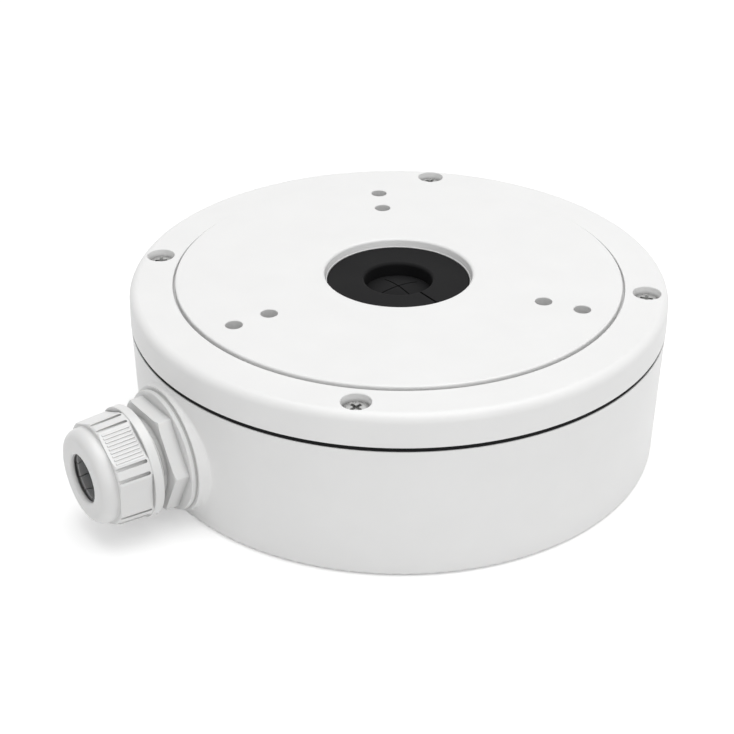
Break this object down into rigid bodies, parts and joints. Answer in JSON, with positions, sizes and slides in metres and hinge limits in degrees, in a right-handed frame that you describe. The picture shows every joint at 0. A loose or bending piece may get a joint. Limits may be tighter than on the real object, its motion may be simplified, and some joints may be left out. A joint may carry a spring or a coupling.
{
  "type": "camera junction box",
  "caption": "Round cast junction box that carries a camera: screwed cover with a slit rubber cable grommet and camera screw holes, and a side cable gland whose cap nut turns.",
  "frame": {"origin": "centre of the back face, in the plane that lies on the wall or ceiling, on the axis of the round box", "axes": "+Z out through the cover towards the camera, -X out along the cable gland, +Y completes the right-handed frame"},
  "size_m": [0.1838, 0.157, 0.0515],
  "materials": {
    "painted_casting": "satin white paint on cast aluminium",
    "black_rubber": "matt black rubber",
    "screw_steel": "stainless steel",
    "gland_nylon": "light grey-white nylon",
    "claw_nylon": "grey nylon",
    "gland_rubber": "dark grey rubber",
    "washer_rubber": "light grey rubber"
  },
  "bodies": {
    "root": {"box_body": "painted_casting", "cover": "painted_casting", "cover_gasket": "black_rubber", "cable_grommet": "black_rubber", "earth_washer": "screw_steel", "earth_screw": "screw_steel", "rear_plug": "black_rubber", "gland_body": "gland_nylon", "gland_washer": "washer_rubber", "gland_lock_nut": "gland_nylon", "cover_screw_1": "screw_steel", "screw_seal_1": "black_rubber", "cover_screw_2": "screw_steel", "screw_seal_2": "black_rubber", "cover_screw_3": "screw_steel", "screw_seal_3": "black_rubber", "cover_screw_4": "screw_steel", "screw_seal_4": "black_rubber"},
    "claw": {"gland_claw": "claw_nylon", "gland_seal": "gland_rubber"},
    "cap_nut": {"gland_cap_nut": "gland_nylon"}
  },
  "joints": [
    {"name": "claw_slide", "type": "slide", "parent": "root", "child": "claw", "axis": [1, 0, 0], "range_m": [-0.0038, 0.0019]},
    {"name": "cap_nut_turn", "type": "hinge", "parent": "claw", "child": "cap_nut", "pos_m": [-0.095, 0, 0.0198], "axis": [1, 0, 0], "range_deg": [-900, 450]}
  ],
  "couplings": [
    {"joint": "claw_slide", "follows": "cap_nut_turn", "m_per_rad": 0.00023873}
  ]
}
